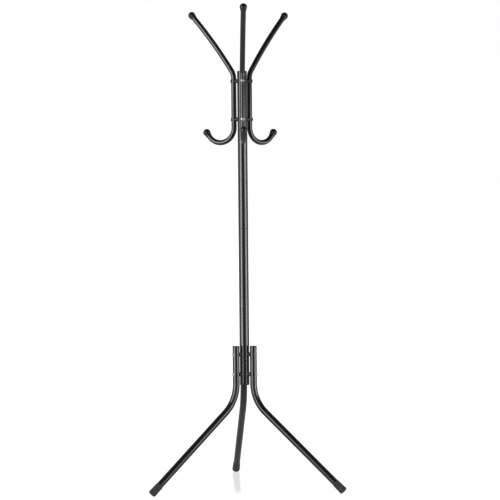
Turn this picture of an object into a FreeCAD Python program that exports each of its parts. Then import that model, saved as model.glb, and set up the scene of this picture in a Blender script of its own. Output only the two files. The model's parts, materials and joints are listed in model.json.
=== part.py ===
import FreeCAD, Part

import math
import os

import Sketcher

# A free-standing coat rack, in millimetres.
#
# Frame: +Z is up, the floor is z = 0 and the front is -Y. The origin is on the floor, at the middle of
# the rack's bounding box from front to back and within 4 mm of its middle from side to side, where
# the pole's axis is at x = 0. The back leg reaches further than the front arm, so the pole stands in
# front of the origin. Every arm and leg is drawn lying along the local +X direction from the pole's
# axis, and its Placement then turns it about that axis and carries it there.
#
# A round two-piece pole stands on three bent tube legs and carries three bent tube arms. Each arm is
# one tube: a sloping prong above, a straight stem in the middle and a U-shaped hook below. Arms and
# legs are held off the pole by saddle spacers and fastened by screws into threaded inserts.

Vector = FreeCAD.Vector
Rotation = FreeCAD.Rotation
Placement = FreeCAD.Placement

SHEET = "Dimensions"
START, END, CENTRE = 1, 2, 3
GROUND, H_AXIS, V_AXIS = -1, -1, -2

DIMENSIONS = [
    # the pole
    ("axis_y", -91.0, "y of the pole's axis, which centres the rack on the origin from front to back"),
    ("pole_radius", 16.2, "outside radius of both pole sections"),
    ("pole_wall", 1.2, "wall of the pole tube"),
    ("pole_foot", 357.5, "height of the pole's lower end"),
    ("pole_section", 538.5, "length of one pole section"),
    ("joiner_length", 120.0, "length of the sleeve inside the pole's joint"),
    ("joiner_wall", 1.5, "wall of that sleeve"),
    ("plug_flange", 3.0, "height of a pole plug outside the tube"),
    ("plug_barrel", 16.0, "length of a pole plug inside the tube"),
    ("plug_rim", 0.3, "how far a plug's flange stands out past its tube"),
    ("plug_rounding", 1.4, "rounding of a plug's flange"),
    ("plug_relief", 0.6, "depth of the relief behind a plug's gripping ring"),
    ("plug_taper", 2.0, "length of the taper that leads a plug in"),
    # the arms
    ("arm_tube", 8.5, "outside radius of the arm tube"),
    ("arm_wall", 1.0, "wall of the arm tube"),
    ("arm_reach", 31.0, "distance from the pole's axis to the arm's straight stem"),
    ("prong_start", 1414.0, "height at which the stem bends into the prong"),
    ("prong_bend", 48.0, "radius of that bend, at the tube's centre line"),
    ("prong_angle", 32.5, "turn of that bend"),
    ("prong_sweep", 1667.0, "radius of the prong's long gentle curve"),
    ("prong_curve", 8.5, "turn of the prong's long curve"),
    ("hook_start", 1244.0, "height at which the stem bends into the hook"),
    ("hook_bend", 51.0, "radius of the hook"),
    ("hook_turn", 146.0, "turn of the hook"),
    ("hook_tail", 16.5, "straight end of the hook"),
    ("arm_screw_low", 1272.0, "height of the arms' lower screws"),
    ("arm_screw_high", 1404.0, "height of the arms' upper screws"),
    ("arm_front_angle", 268.5, "direction of the front arm"),
    ("arm_left_angle", 154.5, "direction of the left arm"),
    ("arm_right_angle", 32.5, "direction of the right arm"),
    ("ball_radius", 12.0, "radius of the ball caps"),
    ("ball_collar", 10.0, "outside radius of a ball cap's collar"),
    ("ball_skirt", 13.0, "length of a ball cap from its centre to its open end"),
    # the legs
    ("leg_tube", 11.2, "outside radius of the leg tube"),
    ("leg_wall", 1.2, "wall of the leg tube"),
    ("leg_reach", 34.5, "distance from the pole's axis to the leg's straight stem"),
    ("leg_top", 486.0, "height of the leg tube's upper end"),
    ("leg_start", 360.0, "height at which the leg bends outwards"),
    ("leg_bend", 130.0, "radius of that bend"),
    ("leg_angle", 49.2, "turn of that bend, from straight down"),
    ("leg_run", 383.5, "straight length of the leg below its bend"),
    ("leg_screw_low", 391.0, "height of the legs' lower screws"),
    ("leg_screw_high", 460.0, "height of the legs' upper screws"),
    ("leg_left_angle", 208.8, "direction of the left leg"),
    ("leg_right_angle", 328.8, "direction of the right leg"),
    ("leg_back_angle", 91.8, "direction of the back leg"),
    ("leg_plug_flange", 3.0, "height of a leg plug outside the tube"),
    ("leg_plug_barrel", 14.0, "length of a leg plug inside the tube"),
    # the feet
    ("foot_lip", 12.1, "outside radius of a foot cap's upper lip"),
    ("foot_radius", 13.1, "outside radius of a foot cap's lower end"),
    ("foot_sleeve", 36.0, "length of a foot cap along the tube"),
    ("foot_lip_band", 3.0, "length of the even lip above a foot cap's flare"),
    ("foot_sole", 4.5, "thickness of a foot cap below the tube"),
    ("foot_rounding", 2.5, "rounding of a foot cap's lower edge"),
    # fasteners
    ("screw_radius", 3.0, "radius of the screws"),
    ("screw_hole", 3.3, "radius of the holes the screws pass through"),
    ("arm_head_radius", 6.6, "radius of an arm screw's head"),
    ("arm_head_height", 3.4, "height of an arm screw's domed head"),
    ("leg_head_radius", 5.2, "radius of a leg screw's head"),
    ("leg_head_height", 2.6, "height of a leg screw's domed head"),
    ("head_rim", 0.9, "height of the straight rim under a screw's dome"),
    ("screw_chamfer", 0.6, "chamfer at a screw's end"),
    ("socket_width", 4.0, "width across the flats of the key socket in a screw's head"),
    ("socket_depth", 1.8, "depth of that socket"),
    ("arm_screw_length", 30.0, "length of an arm screw under its head"),
    ("leg_screw_length", 40.0, "length of a leg screw under its head"),
    ("insert_radius", 4.4, "radius of a threaded insert's barrel"),
    ("insert_hole", 4.5, "radius of the pole's hole for an insert"),
    ("insert_bore", 3.1, "radius of the bore of an insert, over the thread's tips"),
    ("insert_length", 11.0, "length of an insert under its flange"),
    ("flange_radius", 5.8, "radius of an insert's flange"),
    ("flange_height", 0.8, "height of an insert's flange"),
    ("spacer_radius", 7.0, "outside radius of a spacer's two saddles"),
    ("spacer_waist", 5.2, "outside radius of a spacer half way between its saddles"),
    ("saddle_rim", 1.3, "how far a saddle's full radius reaches past the tube it sits on"),
    ("saddle_gap", 0.1, "play between a spacer's saddle and its tube"),
    ("fit_gap", 0.05, "play between a plug or cap and its tube"),
]

# How far a plane is set back past a curved wall so that a cut or a pad meets all of the wall.
REACH_PAST = 3.0
# The least volume that a cut has to take away, or it points the wrong way.
LEAST_CUT = 1.0


def make_sheet(doc):
    """Put every driving dimension in a spreadsheet cell with an alias."""
    sheet = doc.addObject("Spreadsheet::Sheet", SHEET)
    for row, (alias, value, note) in enumerate(DIMENSIONS, start=1):
        sheet.set(f"A{row}", alias)
        sheet.set(f"B{row}", str(value))
        sheet.set(f"C{row}", note)
        sheet.setAlias(f"B{row}", alias)
    return sheet


SIZE = {alias: value for alias, value, note in DIMENSIONS}


def cell(text):
    """The expression that has every dimension named in text read from the sheet."""
    words = []
    word = ""
    for letter in text + " ":
        if letter.isalnum() or letter == "_":
            word += letter
            continue
        words.append(f"{SHEET}.{word}" if word in SIZE else word)
        words.append(letter)
        word = ""
    return "".join(words).strip()


def work_out(doc, text):
    """The number that an expression of dimensions gives now."""
    return float(doc.getObject(SHEET).evalExpression(cell(text)))


# ------------------------------------------------------------------ sketches

def plane(body, role):
    """One of the body's own origin planes."""
    return next(f for f in body.Origin.OriginFeatures if f.Role == role)


def new_sketch(body, name, role, offset="0", along=(0, 0, 1)):
    """A sketch on an origin plane, moved along its own axis `along` by the expression `offset`."""
    sketch = body.newObject("Sketcher::SketchObject", name)
    sketch.AttachmentSupport = [(plane(body, role), "")]
    sketch.MapMode = "FlatFace"
    if offset != "0":
        letter = "xyz"[along.index(1)]
        sketch.setExpression(f"AttachmentOffset.Base.{letter}", cell(offset))
    return sketch


def bind(sketch, index, name, expression):
    """Name a sketch constraint and drive it from the sheet."""
    sketch.renameConstraint(index, name)
    sketch.setExpression(f"Constraints.{name}", cell(expression))


def fix(sketch, name, letter, edge, end, expression, value):
    """Hold one end of an edge at a distance along the sketch's x or y, driven from the sheet."""
    if expression == "0":
        line = V_AXIS if letter == "X" else H_AXIS
        sketch.addConstraint(Sketcher.Constraint("PointOnObject", edge, end, line))
        return
    rule = Sketcher.Constraint(f"Distance{letter}", GROUND, START, edge, end, value)
    bind(sketch, sketch.addConstraint(rule), name, expression)


def circle(doc, sketch, name, radius, x="0", y="0"):
    """A circle with its radius and its centre's place driven from the sheet."""
    size, right, up = (work_out(doc, text) for text in (radius, x, y))
    ring = sketch.addGeometry(Part.Circle(Vector(right, up, 0), Vector(0, 0, 1), size), False)
    bind(sketch, sketch.addConstraint(Sketcher.Constraint("Radius", ring, size)), name, radius)
    fix(sketch, f"{name}_x", "X", ring, CENTRE, x, right)
    fix(sketch, f"{name}_y", "Y", ring, CENTRE, y, up)


def arc_edge(start, finish, radius, side):
    """The shorter arc of a radius from start to finish, with its centre on one side of the way there."""
    way = finish - start
    across = Vector(-way.y, way.x, 0).normalize() * (1 if side == "left" else -1)
    centre = (start + finish) / 2 + across * math.sqrt(radius**2 - way.Length**2 / 4)
    return Part.Arc(start, centre - across * radius, finish)


def outline(doc, sketch, points):
    """A closed chain of edges through points whose x and y are expressions of dimensions.

    A point with two more values ends an arc: the arc's radius, and the side that its centre is on.
    """
    spots = [Vector(work_out(doc, point[0]), work_out(doc, point[1]), 0) for point in points]
    ends = []
    for number, start in enumerate(spots):
        after = (number + 1) % len(points)
        bow = points[after][2:]
        if not bow:
            ends.append((sketch.addGeometry(Part.LineSegment(start, spots[after]), False), START, END))
            continue
        radius = work_out(doc, bow[0])
        edge = sketch.addGeometry(arc_edge(start, spots[after], radius, bow[1]), False)
        # an arc in a sketch runs anticlockwise, so one with its centre on the right is met at its end
        ends.append((edge, START, END) if bow[1] == "left" else (edge, END, START))
        bind(sketch, sketch.addConstraint(Sketcher.Constraint("Radius", edge, radius)), f"bow{after}", bow[0])
    for before, here in zip(ends[-1:] + ends[:-1], ends):
        sketch.addConstraint(Sketcher.Constraint("Coincident", before[0], before[2], here[0], here[1]))
    for number, point in enumerate(points):
        edge, begin, finish = ends[number]
        fix(sketch, f"x{number}", "X", edge, begin, point[0], spots[number].x)
        fix(sketch, f"y{number}", "Y", edge, begin, point[1], spots[number].y)


def bent_path(doc, sketch, start, heading, pieces):
    """A tangent chain of runs and bends in the sketch's plane, which begins with an upright run.

    start: x and y expressions. heading: +1 sets off upwards, -1 downwards. pieces: ("run", length)
    or ("bend", radius, turn), where every bend turns outwards, away from the pole.
    """
    x, y = (work_out(doc, text) for text in start)
    spot = Vector(x, y, 0)
    way = Vector(0, heading, 0)
    before = None
    for number, piece in enumerate(pieces):
        if piece[0] == "run":
            length = work_out(doc, piece[1])
            after = spot + way * length
            edge = sketch.addGeometry(Part.LineSegment(spot, after), False)
            begin, finish = START, END
            rule = Sketcher.Constraint("Distance", edge, length)
            bind(sketch, sketch.addConstraint(rule), f"run{number}", piece[1])
        else:
            radius, turn = work_out(doc, piece[1]), work_out(doc, piece[2])
            centre = spot + Vector(way.y, -way.x, 0) * (heading * radius)
            spin = Rotation(Vector(0, 0, 1), -heading * turn)
            middle_spin = Rotation(Vector(0, 0, 1), -heading * turn / 2)
            middle = centre + middle_spin.multVec(spot - centre)
            after = centre + spin.multVec(spot - centre)
            edge = sketch.addGeometry(Part.Arc(spot, middle, after), False)
            # an arc in a sketch always runs anticlockwise, so one that turns the other way ends at its start
            begin, finish = (END, START) if heading > 0 else (START, END)
            rule = Sketcher.Constraint("Radius", edge, radius)
            bind(sketch, sketch.addConstraint(rule), f"bend{number}", piece[1])
            rule = Sketcher.Constraint("Angle", edge, FreeCAD.Units.Quantity(turn, "deg"))
            bind(sketch, sketch.addConstraint(rule), f"turn{number}", piece[2])
            way = spin.multVec(way)
        if before is None:
            fix(sketch, "start_x", "X", edge, begin, start[0], x)
            fix(sketch, "start_y", "Y", edge, begin, start[1], y)
            sketch.addConstraint(Sketcher.Constraint("Vertical", edge))
        else:
            sketch.addConstraint(Sketcher.Constraint("Tangent", before[0], before[1], edge, begin))
        before = (edge, finish)
        spot = after


# ------------------------------------------------------------------ bodies and features

def place(item, angle=None, height=None):
    """Stand an object on the pole's axis, turned about it by one dimension and raised by another."""
    turn = SIZE[angle] if angle else 0
    rise = SIZE[height] if height else 0
    item.Placement = Placement(Vector(0, SIZE["axis_y"], rise), Rotation(Vector(0, 0, 1), turn))
    item.setExpression("Placement.Base.y", cell("axis_y"))
    if angle:
        item.setExpression("Placement.Rotation.Angle", cell(angle))
    if height:
        item.setExpression("Placement.Base.z", cell(height))


def new_body(doc, label, angle=None):
    """A body on the pole's axis, turned about it by the dimension named angle."""
    body = doc.addObject("PartDesign::Body", label)
    body.Label = label
    place(body, angle)
    return body


def revolve(body, sketch, about="V_Axis"):
    """Turn a sketch's outline a full circle about one of the sketch's own axes."""
    feature = body.newObject("PartDesign::Revolution", sketch.Name + "_turned")
    feature.Profile = sketch
    feature.ReferenceAxis = (sketch, [about])
    feature.Angle = 360
    return feature


def pad(body, sketch, length):
    """Raise a sketch along its normal by an expression of dimensions."""
    feature = body.newObject("PartDesign::Pad", sketch.Name + "_pad")
    feature.Profile = sketch
    feature.setExpression("Length", cell(length))


def cut(doc, body, sketch, length):
    """Cut a sketch along its normal, and make sure that it took something away."""
    doc.recompute()
    before = body.Shape.Volume
    feature = body.newObject("PartDesign::Pocket", sketch.Name + "_cut")
    feature.Profile = sketch
    feature.setExpression("Length", cell(length))
    feature.Reversed = True
    doc.recompute()
    if feature.Shape.Volume > before - LEAST_CUT:
        raise RuntimeError(f"{feature.Name} cuts nothing")


def sweep(body, profile, path, name):
    """Sweep a closed profile along a path sketch."""
    feature = body.newObject("PartDesign::AdditivePipe", name)
    feature.Profile = profile
    feature.Spine = path


def tube_section(doc, body, name, radius, wall, reach, height):
    """A level ring at the given height: the tube's cross-section."""
    sketch = new_sketch(body, name, "XY_Plane", height)
    circle(doc, sketch, "outside", radius, reach)
    circle(doc, sketch, "inside", f"{radius} - {wall}", reach)
    return sketch


def radial_holes(doc, body, name, radius, heights, depth, start="0", angle=None):
    """Cut round holes that run outwards from the plane at distance start from the pole's axis."""
    sketch = new_sketch(body, name, "YZ_Plane", start)
    if angle:
        sketch.AttachmentOffset = Placement(Vector(0, 0, 0), Rotation(Vector(0, 1, 0), SIZE[angle]))
        sketch.setExpression("AttachmentOffset.Rotation.Angle", cell(angle))
    for number, height in enumerate(heights):
        circle(doc, sketch, f"hole{number}", radius, "0", height)
    cut(doc, body, sketch, depth)


# ------------------------------------------------------------------ the pole

ARMS = {"front": "arm_front_angle", "left": "arm_left_angle", "right": "arm_right_angle"}
LEGS = {"left": "leg_left_angle", "right": "leg_right_angle", "back": "leg_back_angle"}
ARM_SCREWS = ("arm_screw_low", "arm_screw_high")
LEG_SCREWS = ("leg_screw_low", "leg_screw_high")


def pole_tube(doc, label, foot, angles, heights):
    """One pole section, with the holes for the threaded inserts."""
    body = new_body(doc, label)
    pad(body, tube_section(doc, body, label + "_ring", "pole_radius", "pole_wall", "0", foot), "pole_section")
    for side, angle in angles.items():
        name = f"{label}_holes_{side}"
        radial_holes(doc, body, name, "insert_hole", heights, "pole_radius + insert_hole", angle=angle)
    return body


def pole_joiner(doc):
    """The sleeve that lines up the two pole sections from inside."""
    body = new_body(doc, "pole_joiner")
    bottom = "pole_foot + pole_section - joiner_length / 2"
    radius = "(pole_radius - pole_wall - fit_gap)"
    ring = tube_section(doc, body, "joiner_ring", radius, "joiner_wall", "0", bottom)
    pad(body, ring, "joiner_length")
    return body


def tube_plug(doc, label, tube, sizes, height, reach="0", angle=None, down=False):
    """A push-in plug: a rounded flange over the tube's end and a barrel that grips inside the tube."""
    radius, wall = tube
    flange, barrel = sizes
    sign, side = ("-1", "right") if down else ("1", "left")
    grip = f"({radius} - {wall} - fit_gap)"
    rim = f"({radius} + plug_rim)"
    body = new_body(doc, label, angle)
    sketch = new_sketch(body, label + "_profile", "XZ_Plane", height, (0, 1, 0))
    if reach != "0":
        sketch.setExpression("AttachmentOffset.Base.x", cell(reach))
    profile = [
        ("0", f"-{sign} * {barrel}"),
        (f"{grip} - plug_relief - plug_taper / 2", f"-{sign} * {barrel}"),
        (f"{grip} - plug_relief", f"-{sign} * ({barrel} - plug_taper)"),
        (f"{grip} - plug_relief", f"-{sign} * {barrel} / 2"),
        (grip, f"-{sign} * ({barrel} / 2 - plug_relief)"),
        (grip, "0"),
        (rim, "0"),
        (rim, f"{sign} * ({flange} - plug_rounding)"),
        (f"{rim} - plug_rounding", f"{sign} * {flange}", "plug_rounding", side),
        ("0", f"{sign} * {flange}"),
    ]
    outline(doc, sketch, profile)
    revolve(body, sketch)
    return body


# ------------------------------------------------------------------ the arms

ARM_MIDDLE = "(arm_screw_low + arm_screw_high) / 2"
# where the centre line ends, which is the middle of the ball cap there, and the tube's tilt there
PRONG_TIP = (
    "arm_reach + prong_bend * (1 - cos(prong_angle))"
    " + prong_sweep * (cos(prong_angle) - cos(prong_angle + prong_curve))",
    "prong_start + prong_bend * sin(prong_angle)"
    " + prong_sweep * (sin(prong_angle + prong_curve) - sin(prong_angle))",
    "prong_angle + prong_curve",
)
HOOK_TIP = (
    "arm_reach + hook_bend * (1 - cos(hook_turn)) + hook_tail * sin(hook_turn)",
    "hook_start - hook_bend * sin(hook_turn) - hook_tail * cos(hook_turn)",
    "180 - hook_turn",
)


def arm(doc, side):
    """One bent arm tube with the two screw holes through its stem."""
    body = new_body(doc, f"arm_{side}", ARMS[side])
    upper = new_sketch(body, f"prong_path_{side}", "XZ_Plane")
    prong = [
        ("run", f"prong_start - {ARM_MIDDLE}"),
        ("bend", "prong_bend", "prong_angle"),
        ("bend", "prong_sweep", "prong_curve"),
    ]
    bent_path(doc, upper, ("arm_reach", ARM_MIDDLE), 1, prong)
    lower = new_sketch(body, f"hook_path_{side}", "XZ_Plane")
    hook = [("run", f"{ARM_MIDDLE} - hook_start"), ("bend", "hook_bend", "hook_turn"), ("run", "hook_tail")]
    bent_path(doc, lower, ("arm_reach", ARM_MIDDLE), -1, hook)
    for path in (upper, lower):
        name = f"{path.Name}_ring"
        ring = tube_section(doc, body, name, "arm_tube", "arm_wall", "arm_reach", ARM_MIDDLE)
        sweep(body, ring, path, f"{path.Name}_tube")
    radial_holes(doc, body, f"arm_holes_{side}", "screw_hole", ARM_SCREWS, "arm_reach + arm_tube + arm_wall")
    return body


def tilted_sketch(doc, body, name, tip, turn):
    """A sketch in the tube's plane, with its origin at the tube's end and its y axis along the tube.

    tip: expressions of the end's x, its height and the tube's tilt. turn: -1 or 1, the tilt's sense.
    """
    sketch = new_sketch(body, name, "XZ_Plane")
    x, y, tilt = (work_out(doc, text) for text in tip)
    sketch.AttachmentOffset = Placement(Vector(x, y, 0), Rotation(Vector(0, 0, turn), tilt))
    sketch.setExpression("AttachmentOffset.Base.x", cell(tip[0]))
    sketch.setExpression("AttachmentOffset.Base.y", cell(tip[1]))
    sketch.setExpression("AttachmentOffset.Rotation.Angle", cell(tip[2]))
    return sketch


def ball_cap(doc, label, tip, angle):
    """A ball that is pushed over the tube's end, with a short collar round the tube."""
    body = new_body(doc, label, angle)
    sketch = tilted_sketch(doc, body, label + "_profile", tip, -1)
    bore = "(arm_tube + fit_gap)"
    profile = [
        ("0", "0"),
        (bore, "0"),
        (bore, "-ball_skirt"),
        ("ball_collar", "-ball_skirt"),
        ("ball_collar", "-sqrt(ball_radius ^ 2 - ball_collar ^ 2)"),
        ("0", "ball_radius", "ball_radius", "left"),
    ]
    outline(doc, sketch, profile)
    revolve(body, sketch)
    return body


# ------------------------------------------------------------------ the legs

# the middle of the leg tube's lower end, and the tube's tilt there
LEG_TIP = (
    "leg_reach + leg_bend * (1 - cos(leg_angle)) + leg_run * sin(leg_angle)",
    "leg_start - leg_bend * sin(leg_angle) - leg_run * cos(leg_angle)",
    "leg_angle",
)


def leg(doc, side):
    """One bent leg tube with the two screw holes through its stem."""
    body = new_body(doc, f"leg_{side}", LEGS[side])
    path = new_sketch(body, f"leg_path_{side}", "XZ_Plane")
    runs = [("run", "leg_top - leg_start"), ("bend", "leg_bend", "leg_angle"), ("run", "leg_run")]
    bent_path(doc, path, ("leg_reach", "leg_top"), -1, runs)
    ring = tube_section(doc, body, f"leg_ring_{side}", "leg_tube", "leg_wall", "leg_reach", "leg_top")
    sweep(body, ring, path, f"leg_tube_{side}")
    radial_holes(doc, body, f"leg_holes_{side}", "screw_hole", LEG_SCREWS, "leg_reach + leg_tube + leg_wall")
    return body


def foot_cap(doc, label, angle):
    """A rubber cap over the leg's lower end, with a small flat where it stands on the floor."""
    body = new_body(doc, label, angle)
    sketch = tilted_sketch(doc, body, label + "_profile", LEG_TIP, 1)
    bore = "(leg_tube + fit_gap)"
    profile = [
        ("0", "0"),
        (bore, "0"),
        (bore, "foot_sleeve"),
        ("foot_lip", "foot_sleeve"),
        ("foot_lip", "foot_sleeve - foot_lip_band"),
        ("foot_radius", "foot_rounding - foot_sole"),
        ("foot_radius - foot_rounding", "-foot_sole", "foot_rounding", "right"),
        ("0", "-foot_sole"),
    ]
    outline(doc, sketch, profile)
    revolve(body, sketch)
    ground = new_sketch(body, label + "_floor", "XZ_Plane", "-4 * foot_radius")
    near, far = (f"{LEG_TIP[0]} {sign} 4 * foot_radius" for sign in "-+")
    outline(doc, ground, [(near, "-4 * foot_radius"), (far, "-4 * foot_radius"), (far, "0"), (near, "0")])
    cut(doc, body, ground, "8 * foot_radius")
    return body


# ------------------------------------------------------------------ fasteners

def screw(doc, label, seat, length, head):
    """A screw along +X whose domed head rests at distance seat, with a hexagonal key socket.

    head: the dimensions that give the head's radius and its height.
    """
    radius, height = head
    body = new_body(doc, label)
    sketch = new_sketch(body, label + "_profile", "XZ_Plane")
    dome = f"({height} - head_rim)"
    profile = [
        (f"{seat} - {length}", "0"),
        (f"{seat} - {length}", "screw_radius - screw_chamfer"),
        (f"{seat} - {length} + screw_chamfer", "screw_radius"),
        (seat, "screw_radius"),
        (seat, radius),
        (f"{seat} + head_rim", radius),
        (f"{seat} + {height}", "0", f"({radius} ^ 2 + {dome} ^ 2) / 2 / {dome}", "right"),
    ]
    outline(doc, sketch, profile)
    revolve(body, sketch, "H_Axis")
    socket = new_sketch(body, label + "_socket", "YZ_Plane", f"{seat} + {height} - socket_depth")
    corner = "socket_width / 2 / cos(30)"
    turns = [60 * number + 30 for number in range(6)]
    outline(doc, socket, [(f"{corner} * cos({turn})", f"{corner} * sin({turn})") for turn in turns])
    cut(doc, body, socket, "2 * socket_depth")
    return body


def threaded_insert(doc):
    """A threaded insert along +X: a barrel inside the pole's wall and a thin flange outside it."""
    body = new_body(doc, "insert_master")
    sketch = new_sketch(body, "insert_profile", "XZ_Plane")
    profile = [
        ("pole_radius - insert_length", "insert_bore"),
        ("pole_radius - insert_length", "insert_radius"),
        ("pole_radius", "insert_radius"),
        ("pole_radius", "flange_radius"),
        ("pole_radius + flange_height", "flange_radius"),
        ("pole_radius + flange_height", "insert_bore"),
    ]
    outline(doc, sketch, profile)
    revolve(body, sketch, "H_Axis")
    return body


def spacer(doc, label, reach, tube):
    """A waisted spacer along +X, hollowed at one end to fit the pole and at the other to fit the tube."""
    body = new_body(doc, label)
    inner, outer = f"pole_radius - {REACH_PAST}", reach
    middle = f"(pole_radius + {reach} - {tube}) / 2"
    sketch = new_sketch(body, label + "_profile", "XZ_Plane")
    profile = [
        (inner, "screw_hole"),
        (inner, "spacer_radius"),
        ("pole_radius + saddle_rim", "spacer_radius"),
        (f"{middle} - saddle_rim / 2", "spacer_waist"),
        (f"{middle} + saddle_rim / 2", "spacer_waist"),
        (f"{reach} - {tube} - saddle_rim", "spacer_radius"),
        (outer, "spacer_radius"),
        (outer, "screw_hole"),
    ]
    outline(doc, sketch, profile)
    revolve(body, sketch, "H_Axis")
    saddle = new_sketch(body, label + "_saddle", "XY_Plane", "-2 * spacer_radius")
    circle(doc, saddle, "pole", "pole_radius + saddle_gap")
    circle(doc, saddle, "tube", f"{tube} + saddle_gap", reach)
    cut(doc, body, saddle, "4 * spacer_radius")
    room = new_sketch(body, label + "_room", "YZ_Plane", inner)
    circle(doc, room, "flange", "flange_radius + 4 * saddle_gap")
    cut(doc, body, room, f"{REACH_PAST} + flange_height + 2 * saddle_gap")
    return body


def group(doc, label, master, angles, heights):
    """Copies of one fastener at every arm or leg and every screw height, as one sub-part."""
    copies = []
    for side, angle in angles.items():
        for height in heights:
            copy = doc.addObject("App::Link", f"{label}_{side}_{height}")
            copy.LinkedObject = master
            place(copy, angle, height)
            copies.append(copy)
    whole = doc.addObject("Part::Compound", label)
    whole.Label = label
    whole.Links = copies
    return whole


# ------------------------------------------------------------------ the whole rack

def build(doc):
    """Make every sub-part and return them."""
    pole = ("pole_radius", "pole_wall")
    pole_plug = ("plug_flange", "plug_barrel")
    pole_top = "pole_foot + 2 * pole_section"
    parts = [
        pole_tube(doc, "pole_lower", "pole_foot", LEGS, LEG_SCREWS),
        pole_tube(doc, "pole_upper", "pole_foot + pole_section", ARMS, ARM_SCREWS),
        pole_joiner(doc),
        tube_plug(doc, "pole_top_plug", pole, pole_plug, pole_top),
        tube_plug(doc, "pole_bottom_plug", pole, pole_plug, "pole_foot", down=True),
    ]
    for side, angle in ARMS.items():
        parts.append(arm(doc, side))
        parts.append(ball_cap(doc, f"prong_cap_{side}", PRONG_TIP, angle))
        parts.append(ball_cap(doc, f"hook_cap_{side}", HOOK_TIP, angle))
    leg_tube = ("leg_tube", "leg_wall")
    leg_plug = ("leg_plug_flange", "leg_plug_barrel")
    for side, angle in LEGS.items():
        parts.append(leg(doc, side))
        parts.append(tube_plug(doc, f"leg_plug_{side}", leg_tube, leg_plug, "leg_top", "leg_reach", angle=angle))
        parts.append(foot_cap(doc, f"foot_{side}", angle))
    insert = threaded_insert(doc)
    arm_head = ("arm_head_radius", "arm_head_height")
    leg_head = ("leg_head_radius", "leg_head_height")
    arm_screw = screw(doc, "arm_screw_master", "arm_reach + arm_tube", "arm_screw_length", arm_head)
    leg_screw = screw(doc, "leg_screw_master", "leg_reach + leg_tube", "leg_screw_length", leg_head)
    arm_spacer = spacer(doc, "arm_spacer_master", "arm_reach", "arm_tube")
    leg_spacer = spacer(doc, "leg_spacer_master", "leg_reach", "leg_tube")
    doc.recompute()
    parts += [
        group(doc, "arm_inserts", insert, ARMS, ARM_SCREWS),
        group(doc, "arm_screws", arm_screw, ARMS, ARM_SCREWS),
        group(doc, "arm_spacers", arm_spacer, ARMS, ARM_SCREWS),
        group(doc, "leg_inserts", insert, LEGS, LEG_SCREWS),
        group(doc, "leg_screws", leg_screw, LEGS, LEG_SCREWS),
        group(doc, "leg_spacers", leg_spacer, LEGS, LEG_SCREWS),
    ]
    return parts


def check(doc, parts):
    """Stop if any object of the document failed or any sub-part has no sound shape."""
    for item in doc.Objects:
        if "Invalid" in item.State or "Error" in item.State:
            raise RuntimeError(f"{item.Name} failed: {item.State}")
    for part in parts:
        if part.Shape.isNull() or not part.Shape.isValid() or not part.Shape.Solids:
            raise RuntimeError(f"{part.Label} has no sound shape")


def main():
    doc = FreeCAD.newDocument("coat_rack")
    make_sheet(doc)
    doc.recompute()
    parts = build(doc)
    doc.recompute()
    check(doc, parts)
    os.makedirs("parts", exist_ok=True)
    for part in parts:
        part.Shape.exportStep(os.path.join("parts", part.Label + ".step"))
        box = part.Shape.BoundBox
        print(f"{part.Label:18s} {len(part.Shape.Solids)} solids, {part.Shape.Volume:10.1f} mm3,"
              f" z {box.ZMin:7.1f} to {box.ZMax:7.1f}")


main()
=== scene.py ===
"""Studio scene for the standing coat rack: materials, fine pieces, floor, light and camera.

Everything is in metres, in the CAD model's own frame: +Z up along the pole, -Y the front.
"""
import json
import math

import bmesh
import bpy
from mathutils import Matrix, Vector


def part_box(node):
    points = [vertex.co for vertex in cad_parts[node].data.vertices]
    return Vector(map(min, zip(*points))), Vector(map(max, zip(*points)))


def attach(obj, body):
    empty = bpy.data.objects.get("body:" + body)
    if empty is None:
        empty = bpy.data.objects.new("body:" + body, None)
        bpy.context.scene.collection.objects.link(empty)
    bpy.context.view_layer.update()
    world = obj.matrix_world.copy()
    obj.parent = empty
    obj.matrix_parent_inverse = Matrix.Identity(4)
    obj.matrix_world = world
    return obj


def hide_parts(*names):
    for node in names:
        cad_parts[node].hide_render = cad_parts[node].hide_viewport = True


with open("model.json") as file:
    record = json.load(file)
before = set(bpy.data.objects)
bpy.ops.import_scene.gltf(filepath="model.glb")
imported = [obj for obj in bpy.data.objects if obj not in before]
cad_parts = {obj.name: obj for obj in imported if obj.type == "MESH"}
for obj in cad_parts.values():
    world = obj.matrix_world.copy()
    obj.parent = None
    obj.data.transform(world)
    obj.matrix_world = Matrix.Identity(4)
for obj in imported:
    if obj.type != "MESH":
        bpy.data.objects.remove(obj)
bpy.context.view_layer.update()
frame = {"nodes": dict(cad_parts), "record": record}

# ---------------------------------------------------------------- places taken from the frame

POLE_LOW, POLE_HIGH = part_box("pole_lower")
POLE_AXIS = Vector(((POLE_LOW.x + POLE_HIGH.x) / 2, (POLE_LOW.y + POLE_HIGH.y) / 2, 0.0))
POLE_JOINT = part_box("pole_upper")[0].z

# ---------------------------------------------------------------- camera

CAMERA_DISTANCE = 6.2855     # level distance from the pole's axis
CAMERA_HEIGHT = 0.9645
CAMERA_SIDE = 3.57           # degrees that the camera stands to the left of straight in front
CAMERA_HEADING = 3.773       # degrees clockwise from +Y
CAMERA_PITCH = -1.313
CAMERA_ROLL = -0.517
CAMERA_LENS = 130.95
SENSOR = 36.0                # millimetres, as the lens

# ---------------------------------------------------------------- light

WHITE = (1.0, 1.0, 1.0, 1.0)

# Radiances of the room that the rack mirrors. Directions are told by the y and z of a unit vector.
SURROUND = 0.3               # on the camera's side
BACKDROP = 0.9               # behind the rack
CEILING = 0.03
WALL_TURN = (-0.9, 0.6)      # from the surround to the backdrop, as the level direction turns to +Y
WALL_TOP = (0.2, 0.6)        # from the wall to the ceiling, as the direction rises
HORIZON = (-0.06, 0.0)       # from the floor to the wall

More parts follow.
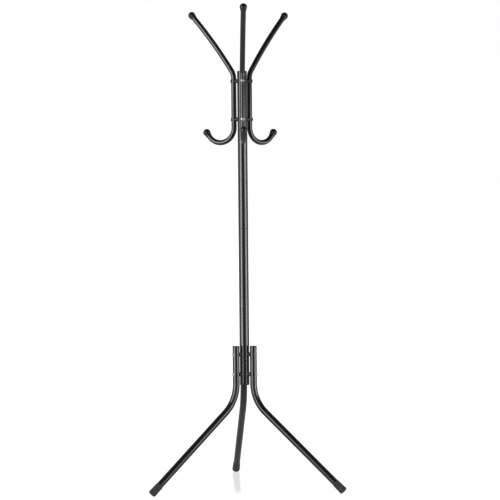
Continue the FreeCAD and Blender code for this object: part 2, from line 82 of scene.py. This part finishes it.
FLOOR_GLOW = 1.05
FLOOR_REACH = 60.0           # half the width of the floor, in metres
FRONT_FLOOR = 0.12           # share of the glow which the rack mirrors from the floor by the camera
FRONT_FADE = (-1.7, -0.5)    # y between which the mirrored floor gains its full glow

# The polished patch of floor, from between the front feet to behind the back foot.
POLISH = 0.5
POLISH_ROUGHNESS = 0.12
POLISH_IOR = 1.33
POLISH_FRONT = (-0.31, -0.14)    # y between which it begins
POLISH_BACK = (0.4, 0.9)         # y between which it ends
POLISH_SIDE = (0.15, 0.5)        # distance from x = 0 between which it ends

# Softboxes: bearing, distance, width, height, height of the middle, and radiance.
SOFTBOXES = {
    "softbox_left": (-54.0, 2.6, 2.1, 2.6, 1.2, 13.0),
    "softbox_right": (64.0, 2.6, 2.2, 2.0, 0.5, 12.0),
}

# Light, and the light that it is shown as. The greys are drawn down, so that a pixel on a tube's
# edge is about as dark as the share of it that the tube covers. Black and white stay.
FILM_CURVE = [(0.04, 0.03), (0.1, 0.055), (0.25, 0.126), (0.5, 0.313), (0.75, 0.604), (0.9, 0.83)]


def make_camera():
    """The camera, aimed by heading, pitch and roll from its place in front of the pole."""
    side = math.radians(CAMERA_SIDE)
    heading, pitch, roll = (math.radians(a) for a in (CAMERA_HEADING, CAMERA_PITCH, CAMERA_ROLL))
    place = POLE_AXIS + Vector((-CAMERA_DISTANCE * math.sin(side),
                                -CAMERA_DISTANCE * math.cos(side),
                                CAMERA_HEIGHT))
    forward = Vector((math.sin(heading) * math.cos(pitch),
                      math.cos(heading) * math.cos(pitch),
                      math.sin(pitch)))
    right = Vector((math.cos(heading), -math.sin(heading), 0.0))
    up = right.cross(forward)
    turned_right = right * math.cos(roll) + up * math.sin(roll)
    turned_up = up * math.cos(roll) - right * math.sin(roll)
    rotation = Matrix((turned_right, turned_up, -forward)).transposed()
    data = bpy.data.cameras.new("camera")
    data.lens = CAMERA_LENS
    data.sensor_width = SENSOR
    camera = bpy.data.objects.new("camera", data)
    camera.matrix_world = Matrix.Translation(place) @ rotation.to_4x4()
    bpy.context.scene.collection.objects.link(camera)
    bpy.context.scene.camera = camera


class Nodes:
    """A node tree with short calls for adding and linking nodes."""

    def __init__(self, tree):
        self.tree = tree
        tree.nodes.clear()

    def add(self, kind, **values):
        """Adds a node. A value names a property of the node or, failing that, an input socket."""
        node = self.tree.nodes.new(kind)
        for name, value in values.items():
            if hasattr(node, name):
                setattr(node, name, value)
            else:
                node.inputs[name.replace("_", " ")].default_value = value
        return node

    def link(self, source, target):
        self.tree.links.new(source, target)

    def feed(self, socket, value):
        """Gives an input a number, or the value of an output socket."""
        if isinstance(value, (int, float)):
            socket.default_value = value
        else:
            self.link(value, socket)

    def math(self, operation, *values):
        """A Math node. Each value is a number or an output socket."""
        node = self.add("ShaderNodeMath", operation=operation)
        for socket, value in zip(node.inputs, values):
            self.feed(socket, value)
        return node.outputs[0]

    def mix(self, share, first, second):
        """Goes from first to second, numbers or output sockets, as share goes from 0 to 1."""
        node = self.add("ShaderNodeMix", data_type="FLOAT")    # its number inputs are 2 and 3
        for socket, value in ((0, share), (2, first), (3, second)):
            self.feed(node.inputs[socket], value)
        return node.outputs[0]

    def mix_shaders(self, share, first, second):
        """The same for two shaders."""
        node = self.add("ShaderNodeMixShader")
        for socket, value in zip(node.inputs, (share, first, second)):
            self.feed(socket, value)
        return node.outputs[0]

    def seen_by_camera(self):
        """1 where the camera looks straight at the surface, 0 for what other surfaces mirror."""
        return self.add("ShaderNodeLightPath").outputs["Is Camera Ray"]

    def ramp(self, value, low, high, out_low=0.0, out_high=1.0):
        """Maps value smoothly from low..high to out_low..out_high."""
        node = self.tree.nodes.new("ShaderNodeMapRange")
        node.interpolation_type = "SMOOTHSTEP"
        self.link(value, node.inputs["Value"])
        node.inputs["From Min"].default_value = low
        node.inputs["From Max"].default_value = high
        node.inputs["To Min"].default_value = out_low
        node.inputs["To Max"].default_value = out_high
        return node.outputs["Result"]


def make_world():
    """A dark studio with a bright backdrop behind the rack. The camera itself sees plain white."""
    world = bpy.data.worlds.new("studio")
    bpy.context.scene.world = world
    world.use_nodes = True
    nodes = Nodes(world.node_tree)
    direction = nodes.add("ShaderNodeTexCoord").outputs["Generated"]
    parts = nodes.add("ShaderNodeSeparateXYZ")
    nodes.link(direction, parts.inputs[0])
    x, y, z = parts.outputs
    squares = nodes.math("ADD", nodes.math("MULTIPLY", x, x), nodes.math("MULTIPLY", y, y))
    behind = nodes.math("DIVIDE", y, nodes.math("SQRT", squares))
    wall = nodes.ramp(behind, *WALL_TURN, SURROUND, BACKDROP)
    height = nodes.ramp(z, *WALL_TOP)
    shade = nodes.mix(height, wall, CEILING)
    ground = nodes.ramp(z, *HORIZON, 1.0, 0.0)
    surround = nodes.add("ShaderNodeBackground", Color=WHITE)
    nodes.link(nodes.mix(ground, shade, FLOOR_GLOW), surround.inputs["Strength"])
    seen = nodes.add("ShaderNodeBackground", Color=WHITE, Strength=1.0)
    whole = nodes.mix_shaders(nodes.seen_by_camera(), surround.outputs[0], seen.outputs[0])
    nodes.link(whole, nodes.add("ShaderNodeOutputWorld").inputs["Surface"])


def softbox(name, bearing, distance, width, height, centre_height, radiance):
    """A rectangular lamp facing the pole. bearing is in degrees from the camera, + to its right."""
    data = bpy.data.lights.new(name, "AREA")
    data.shape = "RECTANGLE"
    data.size = width
    data.size_y = height
    data.energy = radiance * math.pi * width * height
    lamp = bpy.data.objects.new(name, data)
    turn = math.radians(bearing - CAMERA_SIDE)
    target = POLE_AXIS + Vector((0.0, 0.0, centre_height))
    place = target + Vector((distance * math.sin(turn), -distance * math.cos(turn), 0.0))
    facing = (target - place).to_track_quat("-Z", "Y")
    lamp.matrix_world = Matrix.Translation(place) @ facing.to_matrix().to_4x4()
    lamp.visible_camera = False
    bpy.context.scene.collection.objects.link(lamp)


def set_film_curve():
    """Sets the plain view transform, and the film curve for all three colours together."""
    view = bpy.context.scene.view_settings
    view.view_transform = "Standard"
    view.use_curve_mapping = True
    together = view.curve_mapping.curves[3]
    for light, shown in FILM_CURVE:
        together.points.new(light, shown)
    view.curve_mapping.update()


def make_floor():
    """A large white floor, faintly polished from between the front feet to behind the back foot.

    It looks evenly bright to the camera, and what the rack mirrors of it is dimmer in front.
    """
    half = FLOOR_REACH
    corners = [(-half, -half, 0), (half, -half, 0), (half, half, 0), (-half, half, 0)]
    mesh = bpy.data.meshes.new("floor")
    mesh.from_pydata(corners, [], [(0, 1, 2, 3)])
    floor = bpy.data.objects.new("floor", mesh)
    bpy.context.scene.collection.objects.link(floor)
    material = bpy.data.materials.new("floor_white")
    material.use_nodes = True
    nodes = Nodes(material.node_tree)
    place = nodes.add("ShaderNodeTexCoord").outputs["Object"]
    parts = nodes.add("ShaderNodeSeparateXYZ")
    nodes.link(place, parts.inputs[0])
    x, y = parts.outputs["X"], parts.outputs["Y"]
    near = nodes.ramp(y, *POLISH_FRONT, 0.0, POLISH)
    far = nodes.ramp(y, *POLISH_BACK, 1.0, 0.0)
    sideways = nodes.ramp(nodes.math("ABSOLUTE", x), *POLISH_SIDE, 1.0, 0.0)
    polished = nodes.math("MULTIPLY", nodes.math("MULTIPLY", near, far), sideways)
    fresnel = nodes.add("ShaderNodeFresnel", IOR=POLISH_IOR)
    mirror = nodes.math("MULTIPLY", polished, fresnel.outputs[0])
    mirrored = nodes.ramp(y, *FRONT_FADE, FLOOR_GLOW * FRONT_FLOOR, FLOOR_GLOW)
    white = nodes.add("ShaderNodeEmission", Color=WHITE)
    nodes.link(nodes.mix(nodes.seen_by_camera(), mirrored, FLOOR_GLOW), white.inputs["Strength"])
    gloss = nodes.add("ShaderNodeBsdfGlossy", Color=WHITE, Roughness=POLISH_ROUGHNESS)
    whole = nodes.mix_shaders(mirror, white.outputs[0], gloss.outputs[0])
    nodes.link(whole, nodes.add("ShaderNodeOutputMaterial").inputs["Surface"])
    mesh.materials.append(material)


# ---------------------------------------------------------------- materials

NOISE_SPREAD = (0.3, 0.7)    # range of a noise's values that is stretched to the whole effect
DRIFT_SCALE = 18.0           # shade, per metre
PATCH_SCALE = 55.0           # roughness, per metre
SEAM_WIDTH = 0.0012
SEAM_DEPTH = 0.0003

# By material slot: colour and roughness with their relative and absolute spread, and the relief's
# grain, per metre, and depth.
TUBE_PAINT = dict(base=(0.004, 0.004, 0.0042), base_spread=0.25, roughness=0.17,
                  roughness_spread=0.03, grain=700.0, depth=0.00002)
FINISHES = {
    "black_tube": TUBE_PAINT,
    "black_plastic": dict(base=(0.004, 0.004, 0.0043), base_spread=0.25, roughness=0.3,
                          roughness_spread=0.05, grain=1200.0, depth=0.00003, specular=0.3),
    "spacer_plastic": dict(base=(0.006, 0.006, 0.0063), base_spread=0.25, roughness=0.42,
                           roughness_spread=0.06, grain=1500.0, depth=0.00004, specular=0.4),
    "foot_rubber": dict(base=(0.014, 0.014, 0.0145), base_spread=0.4, roughness=0.6,
                        roughness_spread=0.08, grain=900.0, depth=0.00008, specular=0.35),
    "zinc_steel": dict(base=(0.3, 0.3, 0.295), base_spread=0.08, roughness=0.62,
                       roughness_spread=0.06, grain=1800.0, depth=0.00001, metallic=1.0),
    "plain_steel": dict(base=(0.5, 0.49, 0.47), base_spread=0.12, roughness=0.38,
                        roughness_spread=0.08, grain=1500.0, depth=0.00001, metallic=1.0),
}


def finish_material(name, base, base_spread, roughness, roughness_spread, grain, depth,
                    metallic=0.0, specular=0.5, seam=None):
    """A moulded or painted surface: drifting shade, drifting roughness and a fine grain in relief.

    seam: the height of a hairline groove that runs round the piece.
    """
    material = bpy.data.materials.new(name)
    material.use_nodes = True
    nodes = Nodes(material.node_tree)
    place = nodes.add("ShaderNodeTexCoord").outputs["Object"]
    shader = nodes.add("ShaderNodeBsdfPrincipled", Metallic=metallic, Specular_IOR_Level=specular)
    drift = nodes.add("ShaderNodeTexNoise", Scale=DRIFT_SCALE, Detail=4.0, Roughness=0.6)
    nodes.link(place, drift.inputs["Vector"])
    colour = nodes.add("ShaderNodeMix", data_type="RGBA")      # its colours are 6, 7 and, out, 2
    colour.inputs[6].default_value = (*[c * (1.0 - base_spread) for c in base], 1.0)
    colour.inputs[7].default_value = (*[c * (1.0 + base_spread) for c in base], 1.0)
    nodes.link(nodes.ramp(drift.outputs[0], *NOISE_SPREAD), colour.inputs[0])
    nodes.link(colour.outputs[2], shader.inputs["Base Color"])
    patches = nodes.add("ShaderNodeTexNoise", Scale=PATCH_SCALE, Detail=5.0, Roughness=0.65)
    nodes.link(place, patches.inputs["Vector"])
    rough = nodes.ramp(patches.outputs[0], *NOISE_SPREAD,
                       roughness - roughness_spread, roughness + roughness_spread)
    nodes.link(rough, shader.inputs["Roughness"])
    peel = nodes.add("ShaderNodeTexNoise", Scale=grain, Detail=2.0, Roughness=0.5)
    nodes.link(place, peel.inputs["Vector"])
    height = peel.outputs[0]
    if seam is not None:
        parts = nodes.add("ShaderNodeSeparateXYZ")
        nodes.link(place, parts.inputs[0])
        away = nodes.math("ABSOLUTE", nodes.math("SUBTRACT", parts.outputs["Z"], seam))
        groove = nodes.ramp(away, SEAM_WIDTH / 4, SEAM_WIDTH / 2, -SEAM_DEPTH / depth, 0.0)
        height = nodes.math("ADD", height, groove)
    relief = nodes.add("ShaderNodeBump", Strength=1.0, Distance=depth)
    nodes.link(height, relief.inputs["Height"])
    nodes.link(relief.outputs[0], shader.inputs["Normal"])
    nodes.link(shader.outputs[0], nodes.add("ShaderNodeOutputMaterial").inputs["Surface"])
    return material


POLE_PAINT = finish_material("pole_paint", **TUBE_PAINT, seam=POLE_JOINT)
MATERIALS = {slot: finish_material(f"{slot}_finish", **finish)
             for slot, finish in FINISHES.items()}


def dress_cad_nodes():
    """Gives every CAD node the material of its slot, and the pole the paint with the groove."""
    slots = {part["node"]: part["material_slot"] for part in frame["record"]["subparts"]}
    for node, piece in frame["nodes"].items():
        jointed = node in ("pole_lower", "pole_upper")
        for slot in piece.material_slots:
            slot.material = POLE_PAINT if jointed else MATERIALS[slots[node]]


# ---------------------------------------------------------------- moulded caps in fine detail

SEGMENTS = 96
SHARP_EDGE = 40.0            # degrees
MERGE_DISTANCE = 1e-7

BALL_RADIUS = 0.012
BALL_COLLAR = 0.010          # the collar's outer radius
BALL_SKIRT = 0.013           # from the ball's middle down to the collar's lip
BALL_BORE = 0.00855
PRONG_TILT = 41.0            # degrees from upright, at the tube's end
HOOK_TILT = 34.0             # the same for a hook
LIP_ROUNDING = 0.0006
PARTING_WIDTH = 0.0005
PARTING_DEPTH = 0.00015

LEG_RADIUS = 0.0112
LEG_TILT = 49.2              # degrees from straight down
FOOT_BORE = 0.01125
FOOT_LIP = 0.0121            # outer radius at the upper end
FOOT_RADIUS = 0.0131         # outer radius by the floor
FOOT_SLEEVE = 0.036          # length that covers the tube
FOOT_STRAIGHT = 0.003        # stretch below the lip without taper
FOOT_SOLE = 0.0045
FOOT_ROUNDING = 0.0025
GROOVE_PLACES = (0.004, 0.009, 0.014)
GROOVE_WIDTH = 0.0018
GROOVE_DEPTH = 0.0005
GROOVE_STEPS = 8


def arc(centre, radius, first, last, steps):
    """Points of a profile's arc, each as its distance from the axis and its place along it.

    It runs from the angle first to the angle last, in degrees.
    """
    turns = [math.radians(first + (last - first) * step / steps) for step in range(steps + 1)]
    return [(centre[0] + radius * math.cos(turn), centre[1] + radius * math.sin(turn))
            for turn in turns]


def lathe(name, profile, origin, axis, slot):
    """Turns a profile of (distance, place along) points about an axis and makes the piece of it."""
    form = bmesh.new()
    spin = axis.to_track_quat("Z", "Y").to_matrix()
    rings = []
    for distance, along in profile:
        ring = []
        for step in range(SEGMENTS):
            turn = 2.0 * math.pi * step / SEGMENTS
            spot = Vector((distance * math.cos(turn), distance * math.sin(turn), along))
            ring.append(form.verts.new(origin + spin @ spot))
        rings.append(ring)
    for below, above in zip(rings, rings[1:]):
        for step in range(SEGMENTS):
            after = (step + 1) % SEGMENTS
            form.faces.new((below[step], below[after], above[after], above[step]))
    bmesh.ops.remove_doubles(form, verts=form.verts, dist=MERGE_DISTANCE)
    bmesh.ops.recalc_face_normals(form, faces=form.faces)
    mesh = bpy.data.meshes.new(name)
    form.to_mesh(mesh)
    form.free()
    mesh.shade_smooth()
    mesh.set_sharp_from_angle(angle=math.radians(SHARP_EDGE))
    mesh.materials.append(MATERIALS[slot])
    piece = bpy.data.objects.new(name, mesh)
    bpy.context.scene.collection.objects.link(piece)
    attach(piece, "root")
    return piece


def outer_point(node, way, margins):
    """A point inside the corner of a node's box that lies the way that `way` points."""
    low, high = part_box(node)
    return Vector([high[i] - margins[i] if way[i] > 0 else low[i] + margins[i] for i in range(3)])


def tilted(bearing, tilt, rise):
    """A unit vector that leaves the vertical by tilt degrees, towards a bearing in radians.

    rise is 1 for one that points up and -1 for one that points down.
    """
    lean = math.radians(tilt)
    level = math.sin(lean)
    return Vector((level * math.cos(bearing), level * math.sin(bearing), rise * math.cos(lean)))


def bearing_of(point):
    """The direction of a point from the pole's axis, in radians from +X."""
    return math.atan2(point.y - POLE_AXIS.y, point.x - POLE_AXIS.x)


def ball_profile():
    """A ball with a fine parting line round its middle and a collar with a rounded lip."""
    shoulder = -math.degrees(math.acos(BALL_COLLAR / BALL_RADIUS))
    parting = math.degrees(PARTING_WIDTH / 2 / BALL_RADIUS)
    lip = (BALL_COLLAR - LIP_ROUNDING, LIP_ROUNDING - BALL_SKIRT)
    points = [(0.0, 0.0), (BALL_BORE, 0.0), (BALL_BORE, -BALL_SKIRT)]
    points += arc(lip, LIP_ROUNDING, -90.0, 0.0, steps=5)
    points += arc((0.0, 0.0), BALL_RADIUS, shoulder, -parting, steps=10)
    points.append((BALL_RADIUS - PARTING_DEPTH, 0.0))
    points += arc((0.0, 0.0), BALL_RADIUS, parting, 90.0, steps=24)
    return points


def foot_profile():
    """A rubber ferrule: rounded sole, slight taper, three shallow grooves and a rounded lip."""
    taper_low, taper_high = FOOT_ROUNDING - FOOT_SOLE, FOOT_SLEEVE - FOOT_STRAIGHT

    def side(along):
        """The outer radius at a place along the ferrule."""
        share = min(max((along - taper_low) / (taper_high - taper_low), 0.0), 1.0)
        return FOOT_RADIUS + (FOOT_LIP - FOOT_RADIUS) * share

    sole = (FOOT_RADIUS - FOOT_ROUNDING, FOOT_ROUNDING - FOOT_SOLE)
    lip = (FOOT_LIP - LIP_ROUNDING, FOOT_SLEEVE - LIP_ROUNDING)
    points = [(0.0, -FOOT_SOLE)]
    points += arc(sole, FOOT_ROUNDING, -90.0, 0.0, steps=8)
    for place in GROOVE_PLACES:
        for step in range(GROOVE_STEPS + 1):
            share = step / GROOVE_STEPS
            along = place + GROOVE_WIDTH * (share - 0.5)
            points.append((side(along) - GROOVE_DEPTH * math.sin(math.pi * share) ** 2, along))
    points.append((side(taper_high), taper_high))
    points += arc(lip, LIP_ROUNDING, 0.0, 90.0, steps=5)
    points += [(FOOT_BORE, FOOT_SLEEVE), (FOOT_BORE, 0.0), (0.0, 0.0)]
    return points


def make_ball_caps():
    """The six ball caps, each in the place of its CAD node."""
    for kind, tilt in (("prong", PRONG_TILT), ("hook", HOOK_TILT)):
        for side in ("front", "left", "right"):
            node = f"{kind}_cap_{side}"
            low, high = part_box(node)
            outward = (low + high) / 2 - POLE_AXIS
            centre = outer_point(node, outward, (BALL_RADIUS, BALL_RADIUS, BALL_RADIUS))
            axis = tilted(bearing_of(centre), tilt, rise=1.0)
            piece = lathe(f"{node}_fine", ball_profile(), centre, axis, "black_plastic")
            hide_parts(node)


def make_foot_caps():
    """The three rubber feet, each in the place of its CAD node and pressed flat on the floor."""
    for mount in frame["record"]["mounts"]:
        side = mount["name"].split("_")[1]
        bearing = bearing_of(Vector(mount["pos_m"]))
        down = tilted(bearing, LEG_TILT, rise=-1.0)
        # How far the round end of the tube reaches beyond its centre, along each axis.
        margins = [LEG_RADIUS * math.sqrt(1.0 - part * part) for part in down]
        tip = outer_point(f"leg_{side}", down, margins)
        piece = lathe(f"foot_{side}_fine", foot_profile(), tip, -down, "foot_rubber")
        for vertex in piece.data.vertices:
            vertex.co.z = max(vertex.co.z, 0.0)
        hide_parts(f"foot_{side}")


set_film_curve()
make_camera()
make_world()
make_floor()
for name, place in SOFTBOXES.items():
    softbox(name, *place)
dress_cad_nodes()
make_ball_caps()
make_foot_caps()
